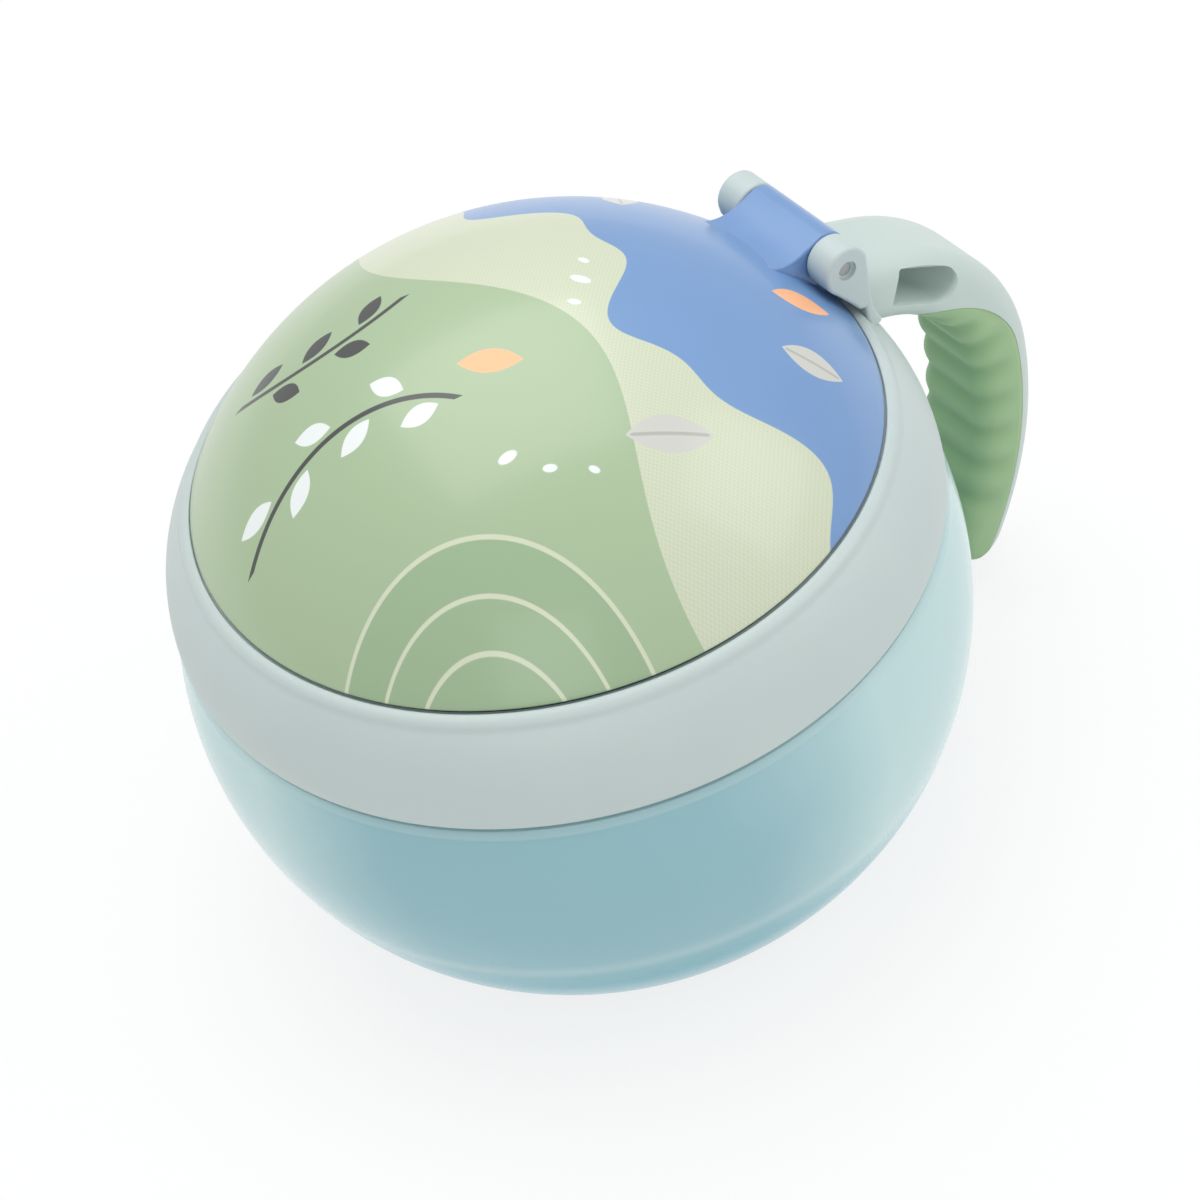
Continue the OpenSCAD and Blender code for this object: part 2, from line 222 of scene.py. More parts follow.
# %% [markdown]
# ## Backdrop
# The table is a plain pale sweep that runs out of sight. It looks white to the camera and in
# every reflection, and still takes the cup's soft shadow, because near the cup a part of what
# the camera sees is light that falls on it. Further out it is plain white, with no horizon.

# %% Lay the table
def start(name, kind, **where):
    """Adds a primitive with nothing else selected."""
    bpy.ops.object.select_all(action="DESELECT")
    getattr(bpy.ops.mesh, "primitive_" + kind + "_add")(**where)
    piece = bpy.context.object
    piece.name = piece.data.name = name
    return piece


NEAR, FADE = 160, 260
table = start("table", "grid", x_subdivisions=2, y_subdivisions=2, size=6,
              location=(0, 0, -0.0002))
paper = Finish("table_paper")
path = paper.node("ShaderNodeLightPath")
seen = [Wire(paper, path.socket.node.outputs[n])
        for n in ("Is Camera Ray", "Is Glossy Ray", "Is Transmission Ray")]
x, y, _ = paper.place()
far = (((x ** 2 + y ** 2) ** 0.5 - NEAR) / FADE).held()
watched = (seen[0] * (0.8 + far * 0.2)).most(seen[1]).most(seen[2])
sheen = paper.node("ShaderNodeBsdfDiffuse", {}, {"Color": (0.9, 0.9, 0.9, 1)})
glow = paper.node("ShaderNodeEmission", {}, {"Color": (1, 1, 1, 1), "Strength": 1.0})
white = paper.node("ShaderNodeMixShader", {}, {0: watched, 1: sheen, 2: glow})
paper.node("ShaderNodeOutputMaterial", {}, {"Surface": white})
table.data.materials.append(paper.material)
print("the table is plain white from", NEAR + FADE, "mm outwards")

# %% Light the tent
world = bpy.data.worlds.new("light_tent")
bpy.context.scene.world = world
world.use_nodes = True
sky = world.node_tree
sky.nodes.clear()
ray = sky.nodes.new("ShaderNodeLightPath")
tent = sky.nodes.new("ShaderNodeBackground")
tent.inputs["Strength"].default_value = 0.62
screen = sky.nodes.new("ShaderNodeBackground")
screen.inputs["Color"].default_value = (1, 1, 1, 1)
tent.inputs["Color"].default_value = (0.98, 1, 1, 1)
choice = sky.nodes.new("ShaderNodeMixShader")
shown = sky.nodes.new("ShaderNodeOutputWorld")
sky.links.new(ray.outputs["Is Camera Ray"], choice.inputs[0])
sky.links.new(tent.outputs[0], choice.inputs[1])
sky.links.new(screen.outputs[0], choice.inputs[2])
sky.links.new(choice.outputs[0], shown.inputs["Surface"])
print("tent lit at", tent.inputs["Strength"].default_value)

# %% [markdown]
# ## Outlines
# A moulded cup is turned work: nearly every piece is an outline spun round the upright axis.
# Such an outline could be typed in point by point, but then no round in it can be changed.
# Two small helpers draw it in millimetres instead, as pairs of radius and height. One gives
# the points of an arc, and one rounds the corners of a list of straight runs.

# %% Draw arcs and rounded corners
def arc(centre, radius, start_angle, end_angle, steps):
    """Points on an arc, with angles in degrees from the level."""
    angles = [math.radians(start_angle + (end_angle - start_angle) * i / steps)
              for i in range(steps + 1)]
    return [(centre[0] + radius * math.cos(a), centre[1] + radius * math.sin(a)) for a in angles]


def rounded(corners, steps=5):
    """A closed outline from corners (r, z, radius), each corner rounded by its radius."""
    points = []
    for i, (r, z, radius) in enumerate(corners):
        here = Vector((r, z))
        if radius == 0:
            points.append((r, z))
            continue
        before = (Vector(corners[i - 1][:2]) - here).normalized()
        after = (Vector(corners[(i + 1) % len(corners)][:2]) - here).normalized()
        half = before.angle(after) / 2
        reach = radius / math.tan(half)
        middle = here + (before + after).normalized() * radius / math.sin(half)
        first, last = here + before * reach, here + after * reach
        a = math.atan2(*(first - middle).yx)
        b = math.atan2(*(last - middle).yx)
        b = a + (b - a + math.pi) % (2 * math.pi) - math.pi
        points += arc(middle, radius, math.degrees(a), math.degrees(b), steps)
    return points


print("a square with round corners has", len(rounded([(0, 0, 1), (9, 0, 1), (9, 9, 1), (0, 9, 1)])),
      "points")

# %% [markdown]
# ## Turning
# The outline is drawn as a potter would draw a section: a vertex is placed and extruded from
# point to point, and then the whole line is spun once round. Where the spin closes, its first
# and last edges lie on each other, so they are merged before the normals are set outwards.

# %% Spin an outline
def tidy(piece, angle=35):
    """Merges doubles, turns the faces outwards and smooths all but the sharp edges."""
    bpy.ops.object.mode_set(mode="EDIT")
    bpy.ops.mesh.select_all(action="SELECT")
    bpy.ops.mesh.remove_doubles(threshold=1e-6)
    bpy.ops.mesh.normals_make_consistent(inside=False)
    bpy.ops.object.mode_set(mode="OBJECT")
    bpy.ops.object.shade_smooth_by_angle(angle=math.radians(angle))
    sides = [tuple(sorted(pair)) for face in piece.data.polygons for pair in face.edge_keys]
    once = sum(n != 2 for n in Counter(sides).values())
    print(piece.name, "has", len(piece.data.polygons), "faces and", once, "open edges")
    return piece


def trace(points):
    """In edit mode, walks one vertex along points in metres and leaves the line behind it."""
    bpy.ops.mesh.select_mode(type="VERT")
    bpy.ops.mesh.select_all(action="SELECT")
    bpy.ops.mesh.merge(type="CENTER")
    bpy.ops.transform.translate(value=points[0])
    for here, there in zip(points, points[1:]):
        bpy.ops.mesh.extrude_region_move(
            TRANSFORM_OT_translate={"value": Vector(there) - Vector(here)})


AROUND = 192


def turned(name, outline, steps=AROUND, angle=35):
    """A piece spun round the Z axis from an outline in millimetres; a closed one repeats
    its first point."""
    piece = start(name, "plane", size=MM)
    bpy.ops.object.mode_set(mode="EDIT")
    trace([Vector((r, 0, z)) * MM for r, z in outline])
    bpy.ops.mesh.select_all(action="SELECT")
    bpy.ops.mesh.spin(steps=steps, angle=2 * math.pi, center=(0, 0, 0), axis=(0, 0, 1))
    bpy.ops.object.mode_set(mode="OBJECT")
    return tidy(piece, angle)


print("an outline is spun in steps of", 360 / AROUND, "degrees, or in broader ones if told so")

# %% [markdown]
# ## Bowl
# The bowl is moulded in one milky, translucent plastic. Its belly is one round that runs into
# a smaller one at the foot, and a short neck stands on the shoulder for the thread. It could
# be a sphere that is cut off above and below, but that has no inside. It is drawn as a closed
# section instead, outside and inside, so that light meets a real wall.

# %% Turn the bowl
BELLY_R, WALL, FOOT_ROUND = 47.5, 2.4, 5.1
FLOOR, SHOULDER, NECK_TOP = 3.2, 48.5, 57.5
NECK_R, NECK_IN = 42.0, 39.8
belly = (4.1, 35.0)
foot_turn = -math.degrees(math.asin((belly[1] - FOOT_ROUND) / (BELLY_R - FOOT_ROUND)))
step_turn = math.degrees(math.asin((46.8 - belly[1]) / BELLY_R))
foot_r = belly[0] + (BELLY_R - FOOT_ROUND) * math.cos(math.radians(foot_turn))
inner_turn = math.degrees(math.asin((46.1 - belly[1]) / (BELLY_R - WALL)))
inner_round = FOOT_ROUND - WALL
shoulder_step = [(50.1, 47.0), (50.0, 47.2), (49.75, 48.2), (49.5, 48.45), (49.2, SHOULDER)]
neck_rim = [(NECK_R, NECK_TOP - 0.5), (NECK_R - 0.15, NECK_TOP - 0.15), (NECK_R - 0.5, NECK_TOP),
            (NECK_IN + 0.4, NECK_TOP), (NECK_IN + 0.1, NECK_TOP - 0.15), (NECK_IN, NECK_TOP - 0.5)]
bowl_outline = (
    [(0.0, 0.6), (foot_r - 9, 0.6), (foot_r - 8, 0.0)]
    + arc((foot_r, FOOT_ROUND), FOOT_ROUND, -90, foot_turn, 12)
    + arc(belly, BELLY_R, foot_turn, step_turn, 44)[1:]
    + shoulder_step + [(NECK_R, SHOULDER)] + neck_rim + [(NECK_IN, 46.1)]
    + arc(belly, BELLY_R - WALL, inner_turn, foot_turn, 44)
    + arc((foot_r, FLOOR + inner_round), inner_round, foot_turn, -90, 8)[1:]
    + [(0.0, FLOOR)])
bowl = turned("bowl_body", bowl_outline)

# %% [markdown]
# ## Thread
# Three ridges climb the neck, ten millimetres to the turn, and three more in the collar's bore
# mesh with them. They could be a bump in the finish, but they show when the cup is open. So a
# ridge is a small closed section that the Screw modifier sweeps up a helix. Its ends are
# closed and its foot is sunk into the wall, as a mould leaves them.

# %% Wind one ridge
LEAD, STARTS = 10.0, 3


def ridge(name, base_r, tip_r, bottom, turn_share, start_angle):
    """One ridge of thread from base_r to tip_r, its foot at height bottom."""
    piece = start(name, "plane", size=MM)
    bpy.ops.object.mode_set(mode="EDIT")
    section = [(base_r, -0.75), (tip_r, -0.3), (tip_r, 0.3), (base_r, 0.75), (base_r, -0.75)]
    trace([Vector((r, 0, bottom + z)) * MM for r, z in section])
    bpy.ops.object.mode_set(mode="OBJECT")
    screw = piece.modifiers.new("helix", "SCREW")
    screw.angle, screw.screw_offset = turn_share * 2 * math.pi, turn_share * LEAD * MM
    screw.steps = screw.render_steps = 40
    screw.use_merge_vertices, screw.merge_threshold = True, 1e-6
    bpy.ops.object.modifier_apply(modifier="helix")
    bpy.ops.object.mode_set(mode="EDIT")
    bpy.ops.mesh.select_all(action="SELECT")
    bpy.ops.mesh.remove_doubles(threshold=1e-6)
    bpy.ops.mesh.select_all(action="DESELECT")
    bpy.ops.mesh.select_mode(type="EDGE")
    bpy.ops.mesh.select_non_manifold()
    bpy.ops.mesh.fill_holes(sides=6)
    bpy.ops.object.mode_set(mode="OBJECT")
    piece.data.transform(Matrix.Rotation(math.radians(start_angle), 4, "Z"))
    return tidy(piece)


# %% Join the ridges of neck and bore
def joined(name, parts):
    """The parts as one object."""
    bpy.ops.object.select_all(action="DESELECT")
    for part in parts:
        part.select_set(True)
    bpy.context.view_layer.objects.active = parts[0]
    bpy.ops.object.join()
    parts[0].name = parts[0].data.name = name
    return parts[0]


THREAD_FROM = 50.6
bowl_thread = joined("bowl_thread", [
    ridge(f"neck_ridge_{i}", 41.9, 43.1, THREAD_FROM, 0.5, 360 / STARTS * i)
    for i in range(STARTS)])
collar_thread = joined("collar_thread", [
    ridge(f"bore_ridge_{i}", 43.9, 42.7, THREAD_FROM + LEAD / 6, 0.42, 360 / STARTS * i + 6)
    for i in range(STARTS)])

# %% [markdown]
# ## Collar
# The collar is a thin skin that swells a little, rolls over into a narrow shoulder round the
# lid, and drops to a deck with a raised mouth. A bevel could round its edges after the spin,
# but its lower edge and its shoulder catch the light in broad bands, so the outline gets true
# arcs there from the start.

# %% Turn the collar
def swollen(low, high, swell):
    """Points from low to high along a shallow arc that bulges outwards by swell."""
    low, high = Vector(low), Vector(high)
    run = high - low
    radius = (run.length ** 2 / 4 + swell ** 2) / (2 * swell)
    inward = Vector((-run.y, run.x)).normalized()
    middle = (low + high) / 2 + inward * (radius - swell)
    a = math.degrees(math.atan2(*(low - middle).yx))
    b = math.degrees(math.atan2(*(high - middle).yx))
    return arc(middle, radius, a, b, 24)


MOUTH_R, BORE_R, COLLAR_FOOT = 35.0, 43.8, 48.8
skin_outside = (arc((48.8, 50.0), 1.2, -90, 0, 8) + swollen((50.0, 50.0), (45.68, 61.9), 1.15)[1:]
                + arc((44.2, 61.7), 1.5, 14, 90, 10)[1:] + arc((44.2, 63.0), 0.2, 90, 180, 4)[1:])
ledge_and_deck = [(44.0, 62.85), (43.88, 62.7), (43.3, 62.7), (43.2, 62.6), (43.2, 61.4),
                  (43.0, 61.2), (37.1, 61.2), (36.9, 61.3), (36.8, 61.5)]
raised_mouth = [(36.8, 62.7), (36.65, 62.98), (36.4, 63.1), (MOUTH_R + 0.4, 63.1),
                (MOUTH_R + 0.12, 62.98), (MOUTH_R, 62.7), (MOUTH_R, 59.0)]
bore = [(BORE_R, 59.0), (BORE_R, 49.4), (BORE_R + 0.4, 49.0), (45.6, 49.0), (45.6, 57.5)]
skin_inside = swollen((48.0, COLLAR_FOOT), (46.2, 57.5), 0.6)[::-1]
collar_outline = skin_outside + ledge_and_deck + raised_mouth + bore + skin_inside
collar = turned("collar_ring", collar_outline + collar_outline[:1])

# %% [markdown]
# ## Plates of the hinge
# Two ears stand on the collar, and the lid's strap ends in a knuckle between them. Each could be
# a cylinder joined to a block, which leaves a seam between the two. All are flat plates seen
# from the side, so one helper traces the whole outline in the Y-Z plane, fills it, extrudes it
# across the cup and rounds its rims with a bevel.

# %% Cut a plate
def plate(name, outline, left, right_side, rim):
    """A plate from left to right_side across the cup, its outline in (y, z) millimetres."""
    piece = start(name, "plane", size=MM)
    bpy.ops.object.mode_set(mode="EDIT")
    trace([Vector((left, y, z)) * MM for y, z in outline])
    bpy.ops.mesh.select_all(action="SELECT")
    bpy.ops.mesh.edge_face_add()
    bpy.ops.mesh.extrude_region_move(
        TRANSFORM_OT_translate={"value": ((right_side - left) * MM, 0, 0)})
    bpy.ops.object.mode_set(mode="OBJECT")
    tidy(piece)
    if rim == 0:
        return piece
    soft = piece.modifiers.new("rim", "BEVEL")
    soft.width, soft.segments, soft.limit_method = rim * MM, 4, "ANGLE"
    soft.angle_limit = math.radians(40)
    bpy.ops.object.modifier_apply(modifier="rim")
    return tidy(piece)


# %% Cut one piece with another
def cut(piece, cutter, operation="DIFFERENCE"):
    """Cuts piece with cutter, which is used up."""
    knife = piece.modifiers.new("cut", "BOOLEAN")
    knife.object, knife.operation, knife.solver = cutter, operation, "EXACT"
    bpy.ops.object.select_all(action="DESELECT")
    bpy.context.view_layer.objects.active = piece
    piece.select_set(True)
    bpy.ops.object.modifier_apply(modifier="cut")
    bpy.data.objects.remove(cutter)
    return piece


print("a cut takes its cutter away with it")

# %% Make the ears
PIN_R, KNUCKLE_R = 0.98, 3.2
EAR_IN, EAR_WIDE, RECESS_R, RECESS_DEEP = 7.15, 4.3, 1.35, 0.55
pin = (42.4, 71.4)
dome_z, dome_r = 36.246, 51.654
ear_front = math.sqrt((dome_r + 0.5) ** 2 - EAR_IN ** 2)
ear_out = EAR_IN + EAR_WIDE
ear_outline = (
    [(45.38, 65.4), (45.5, 63.6), (45.9, 62.2), (46.4, 61.2), (46.4, 60.4), (44.35, 60.4),
     (44.3, 64.1)]
    + arc((0.0, dome_z), ear_front, 32.7, 39.7, 6) + [(39.35, 70.0)]
    + arc(pin, KNUCKLE_R, 190, 0, 24))
ears = []
for name, left, outside in (("ear_right", EAR_IN, ear_out), ("ear_left", -ear_out, -ear_out)):
    ear = plate(name, ear_outline, left, left + EAR_WIDE, 0.45)
    recess = start("recess", "cylinder", vertices=48, radius=RECESS_R * MM,
                   depth=2 * RECESS_DEEP * MM, rotation=(0, math.pi / 2, 0),
                   location=Vector((outside, *pin)) * MM)
    ears.append(cut(ear, recess))
collar_ears = joined("collar_ears", ears)
tidy(collar_ears)

# %% [markdown]
# ## Lid
# The lid is one glossy shell: a shallow dome with a rolled lip, a skirt that drops into the
# collar's shoulder, and a plug ring inside the mouth. A flat strap leaves the dome at the back
# and ends in the knuckle that turns on the pin. A boolean union of strap and dome would leave
# a hard crease, so the strap is a plate of its own, whose outline leaves the dome in a fillet.

# %% Turn the dome
def dome(inset, from_r, to_r, steps):
    """Points on the dome, inset by a wall, between two radii."""
    r = dome_r - inset
    a, b = (math.degrees(math.acos(v / r)) for v in (from_r, to_r))
    return arc((0.0, dome_z), r, a, b, steps)


LID_WALL = 1.8
lip = [(43.66, 63.8), (43.78, 63.6), (43.76, 63.4), (43.6, 63.2), (43.3, 63.1), (42.8, 63.08),
       (42.65, 62.95), (42.6, 62.7)]
skirt = [(42.6, 61.8), (42.5, 61.58), (42.3, 61.5), (41.5, 61.5), (41.3, 61.6), (41.2, 61.8)]
plug_ring = [(34.4, 64.0), (34.4, 61.8), (34.25, 61.65), (34.1, 61.6), (33.3, 61.6),
             (33.1, 61.68), (33.0, 61.9), (33.0, 64.0)]
lid_outline = (dome(0, 0, 43.35, 48) + lip + skirt + dome(LID_WALL, 41.2, 34.5, 6) + plug_ring
               + dome(LID_WALL, 32.9, 0, 40))
lid = turned("lid_dome", lid_outline, angle=40)

# %% Make the strap and the knuckle
STRAP_FROM, FILLET_FROM, HALF_STRAP = 36.5, 33.8, 7.0
crease = Vector((STRAP_FROM, dome_z + math.sqrt(dome_r ** 2 - STRAP_FROM ** 2)))
crown = Vector((pin[0], pin[1] + KNUCKLE_R))
slope = (crown - crease).normalized()
corner_z = dome_z + math.sqrt(dome_r ** 2 - FILLET_FROM ** 2 - HALF_STRAP ** 2)
head = Vector((FILLET_FROM, corner_z - 0.05))
flat = crease + slope * 3.2
fillet = [head * (1 - t) ** 2 + crease * 2 * t * (1 - t) + flat * t ** 2
          for t in (i / 8 for i in range(9))]
strap_outline = ([tuple(p) for p in fillet] + [tuple(crown)] + arc(pin, KNUCKLE_R, 88, -100, 24)
                 + [(40.9, 67.6), (39.6, 67.7), (head.x + 0.4, head.y - 1.4)])
strap = plate("lid_strap", strap_outline, -HALF_STRAP, HALF_STRAP, 0.7)

# %% [markdown]
# ## Pin
# A short steel rod holds the lid. Only its end shows, in a shallow recess in each ear. A
# cylinder is nearly enough, but its edge would be too sharp to catch any light, so a Bevel
# modifier gives it the small chamfer that a rod is cut with.

# %% Turn the pin
rod = start("hinge_rod", "cylinder", vertices=48, radius=PIN_R * MM,
            depth=(2 * ear_out - 1.0) * MM, rotation=(0, math.pi / 2, 0),
            location=Vector((0, *pin)) * MM)
bpy.ops.object.transform_apply(location=True, rotation=True, scale=True)
chamfer = rod.modifiers.new("chamfer", "BEVEL")
chamfer.width, chamfer.segments, chamfer.limit_method = 0.16 * MM, 3, "ANGLE"
bpy.ops.object.modifier_apply(modifier="chamfer")
tidy(rod)

# %% [markdown]
# ## Handle
# The handle is one bent bar of nearly even section. It is easier to work on the bar before it
# is bent: the rounded section is extruded straight, ring by ring, and its end is drawn in to a
# round. Then each ring is carried to its place on the real path: a short straight run, a tight
# bend and a long bow.

# %% Describe the path
STRAIGHT, BEND_R, BOW_R = 8.0, 24.8, 50.2
ROOT_SLOPE, BOW_SLOPE, TIP_SLOPE = 22.6, 87.2, 121.0
root = Vector((45.2, 61.8))


def outward(heading):
    """Unit vector away from the bend, where the path heads so many degrees below level."""
    return Vector((math.sin(math.radians(heading)), math.cos(math.radians(heading))))


def along(heading):
    """Unit vector along the path there."""
    return Vector((math.cos(math.radians(heading)), -math.sin(math.radians(heading))))


bend_at = root + along(ROOT_SLOPE) * STRAIGHT
bend_middle = bend_at - outward(ROOT_SLOPE) * BEND_R
bow_middle = bend_middle + outward(BOW_SLOPE) * (BEND_R - BOW_R)
bend_length = BEND_R * math.radians(BOW_SLOPE - ROOT_SLOPE)
bow_length = BOW_R * math.radians(TIP_SLOPE - BOW_SLOPE)
tip_at = STRAIGHT + bend_length + bow_length


def on_path(s):
    """The path's point and heading at s millimetres from the root."""
    if s < STRAIGHT:
        return root + along(ROOT_SLOPE) * s, ROOT_SLOPE
    if s < STRAIGHT + bend_length:
        heading = ROOT_SLOPE + math.degrees((s - STRAIGHT) / BEND_R)
        return bend_middle + outward(heading) * BEND_R, heading
    if s < tip_at:
        heading = BOW_SLOPE + math.degrees((s - STRAIGHT - bend_length) / BOW_R)
        return bow_middle + outward(heading) * BOW_R, heading
    tip = bow_middle + outward(TIP_SLOPE) * BOW_R
    return tip + along(TIP_SLOPE) * (s - tip_at), TIP_SLOPE


def bend(piece):
    """Carries a straight bar, with s along Y, outwards along Z and X across, onto the path."""
    for vertex in piece.data.vertices:
        across, s, out = (v / MM for v in vertex.co)
        point, heading = on_path(s)
        y, z = point + outward(heading) * out
        vertex.co = Vector((across, y, z)) * MM
    return tidy(piece, 50)


print("the path is", round(tip_at, 1), "mm long")

# %% Extrude the straight bar
BAR_WIDE, BAR_THICK, BAR_ROUND, SUNK = 15.0, 9.6, 3.6, 3


def bar(name):
    """The handle's bar before it is bent, from 3 mm inside the collar to its round tip."""
    piece = start(name, "plane", size=1, rotation=(math.pi / 2, 0, 0),
                  location=(0, -SUNK * MM, 0))
    piece.scale = (BAR_WIDE * MM, BAR_THICK * MM, 1)
    bpy.ops.object.transform_apply(location=True, rotation=True, scale=True)
    bpy.ops.object.mode_set(mode="EDIT")
    bpy.ops.mesh.select_mode(type="VERT")
    bpy.ops.mesh.select_all(action="SELECT")
    bpy.ops.mesh.bevel(offset=BAR_ROUND * MM, segments=8, affect="VERTICES")
    count = 112
    for _ in range(count):
        bpy.ops.mesh.extrude_region_move(
            TRANSFORM_OT_translate={"value": (0, (tip_at + SUNK) / count * MM, 0)})
    before = (0.0, 1.0, 1.0)
    for i in range(1, 10):
        a = math.radians(i * 10)
        thin = max(math.cos(a), 0.05)
        now = (BAR_THICK / 2 * math.sin(a), thin, 1 - 0.2 * (1 - thin) ** 2)
        bpy.ops.mesh.extrude_region_move(
            TRANSFORM_OT_translate={"value": (0, (now[0] - before[0]) * MM, 0)})
        bpy.ops.transform.resize(value=(now[2] / before[2], 1, now[1] / before[1]),
                                 center_override=(0, (tip_at + now[0]) * MM, 0))
        before = now
    bpy.ops.object.mode_set(mode="OBJECT")
    return tidy(piece, 50)


print("the bar is", BAR_WIDE, "by", BAR_THICK, "mm before it is bent")

# %% [markdown]
# ## Two plastics
# The soft grip is moulded into the bar's inner side, and the hard shell runs over its back as
# a rim that thins towards the tip. A change of colour alone would look painted on. Both pieces
# are cut from the same bar with the same block instead, so that they are solid in themselves
# and meet in one seam a few hundredths of a millimetre wide.

# %% Split the bar along its seam
SHELL = 1.9
GRIP_FROM, GRIP_FULL = 35.0, 82.0


def seam(s):
    """How far outwards of the bar's middle the seam lies, s millimetres from the root."""
    heading = on_path(s)[1]
    short = max(0.0, (GRIP_FULL - heading) / (GRIP_FULL - GRIP_FROM))
    return SHELL - (SHELL + BAR_THICK / 2) * short ** 1.6


grip_start = STRAIGHT + BEND_R * math.radians(GRIP_FROM - ROOT_SLOPE)
past_tip = tip_at + 6


def block(gap):
    """A block that holds all that the grip fills, wider by the gap."""
    stops = [grip_start + (past_tip - grip_start) * i / 60 for i in range(61)]
    line = [(s, seam(s) + gap) for s in stops]
    return plate("block", line + [(past_tip, -8), (grip_start - gap, -8)], -9, 9, 0.0)


handle = cut(bar("handle_shell"), block(0.06))
grip = cut(bar("grip_ribs"), block(0.0), "INTERSECT")
print("seam runs from", round(seam(20), 2), "to", round(seam(60), 2), "mm off the middle")

# %% [markdown]
# ## Slot
# A strap can be tied through a slot near the hinge. Its end by the hinge is square and its far
# end is round, and its mouth flares a little on both sides, as moulded openings do. A bevel on
# the finished opening fails where the bar's own round begins. So the flare is drawn on the
# cutter: its ends are extruded and widened in steps.

# %% Cut the slot
def slot_cutter():
    """A bar with the slot's outline that widens where it leaves the handle on either side."""
    outline = rounded([(7.1, 3.25, 0.5), (7.1, -1.65, 0.5), (16.9, -1.65, 2.2),
                       (16.9, 3.25, 2.2)], 8)
    piece = start("slot_cutter", "plane", size=MM)
    bpy.ops.object.mode_set(mode="EDIT")
    trace([Vector((-6.6, y, z)) * MM for y, z in outline])
    bpy.ops.mesh.select_all(action="SELECT")
    bpy.ops.mesh.edge_face_add()
    bpy.ops.mesh.extrude_region_move(TRANSFORM_OT_translate={"value": (13.2 * MM, 0, 0)})
    middle = Vector((0, 12.0, 0.8)) * MM
    for facing in (1, -1):
        bpy.ops.mesh.select_mode(type="FACE")
        bpy.ops.mesh.select_all(action="DESELECT")
        bpy.ops.object.mode_set(mode="OBJECT")
        for face in piece.data.polygons:
            face.select = face.center.x * facing > 6.5 * MM
        bpy.ops.object.mode_set(mode="EDIT")
        for out, wide, tall in ((0.35, 1.01, 1.03), (0.3, 1.02, 1.05), (0.25, 1.04, 1.08),
                                (1.2, 1.25, 1.5)):
            bpy.ops.mesh.extrude_region_move(
                TRANSFORM_OT_translate={"value": (out * facing * MM, 0, 0)})
            bpy.ops.transform.resize(value=(1, wide, tall), center_override=middle)
    bpy.ops.object.mode_set(mode="OBJECT")
    return tidy(piece)


handle = cut(handle, slot_cutter())

# %% [markdown]
# ## Ribs
# Soft broad grooves run across the grip, round its corners and out on its sides, where they
# fade before they reach the seam. A bump in the finish wouldn't show in the grip's outline,
# which is scalloped. So a vertex group holds how deep each spot lies, and a Displace modifier
# pushes the surface in by that share. An attribute keeps the depth for the finish.

# %% Press the grooves into the grip
RIBS, GROOVE_DEPTH = 9, 0.55
rib_pitch = (tip_at - grip_start) / RIBS


def groove(s, out):
    """How deep the groove is at s along the bar and out from its middle, from 0 to 1."""
    turn_share = (s - grip_start) / rib_pitch
    if turn_share < 0.5 or turn_share > RIBS - 0.5:
        return 0.0
    across = 0.5 + 0.5 * math.cos(2 * math.pi * turn_share)
    fade = min(1.0, max(0.0, (seam(s) - 0.7 - out) / 3.2))
    return across ** 1.2 * fade * fade * (3 - 2 * fade)


depths = [groove(vertex.co.y / MM, vertex.co.z / MM) for vertex in grip.data.vertices]
grip.data.attributes.new("groove", "FLOAT", "POINT").data.foreach_set("value", depths)
pressed = grip.vertex_groups.new(name="pressed")
for i, deep in enumerate(depths):
    if deep > 0:
        pressed.add([i], deep, "REPLACE")
press = grip.modifiers.new("press", "DISPLACE")
press.vertex_group, press.strength, press.mid_level = "pressed", -GROOVE_DEPTH * MM, 0.0
bpy.ops.object.select_all(action="DESELECT")
bpy.context.view_layer.objects.active = grip
bpy.ops.object.modifier_apply(modifier="press")
grip.vertex_groups.clear()
print("grooves every", round(rib_pitch, 2), "mm")

# %% [markdown]
# ## Bend and seat
# Everything that was easier on a straight bar is done, so both pieces now go onto the path.
# The shell's root has to lie on the swollen collar without a gap. It could be shaped to it by
# hand, but one cut with a turned solid of the collar's own outline fits it exactly.

# %% Bend both and seat them on the collar
for piece in (handle, grip):
    bend(piece)
seat = turned("seat", [(0, COLLAR_FOOT), (49.4, COLLAR_FOOT)]
              + swollen((49.4, 50.0), (44.9, 62.4), 1.2)
              + [(44.3, 62.7), (44.3, 90.0), (0, 90.0)], steps=96)
handle = cut(handle, seat)
tidy(handle, 40)

# %% [markdown]
# ## Flap
# Under the lid a soft disc keeps the snacks in and lets a small hand through. It is one
# silicone moulding: a thicker rim that the collar clamps, and thin leaves parted by slits. The
# slits could be dark lines in the finish, but each leaf has a thickness that shows at its
# edges. So the disc is turned, and eight thin blocks cut right through it.

# %% Mould the flap
flap_outline = [(3.9, 58.2), (4.0, 58.0), (33.5, 58.0), (34.5, 57.5), (43.0, 57.5), (43.2, 57.7),
                (43.2, 58.8), (43.0, 59.0), (34.9, 59.0), (33.2, 58.9), (4.2, 58.9),
                (4.0, 58.8), (3.9, 58.6)]
flap = turned("flap_leaves", flap_outline + flap_outline[:1], steps=128)
LEAVES, SLIT_LONG, SLIT_WIDE = 8, 30.0, 0.4
for i in range(LEAVES):
    slit = start("slit", "cube", size=MM, location=(0, 0, 0))
    slit.scale = (SLIT_LONG, SLIT_WIDE, 6)
    slit.location = ((SLIT_LONG / 2 + 1) * MM, 0, 58.5 * MM)
    bpy.ops.object.transform_apply(location=True, rotation=True, scale=True)
    slit.data.transform(Matrix.Rotation(i * 2 * math.pi / LEAVES, 4, "Z"))
    flap = cut(flap, slit)
tidy(flap)

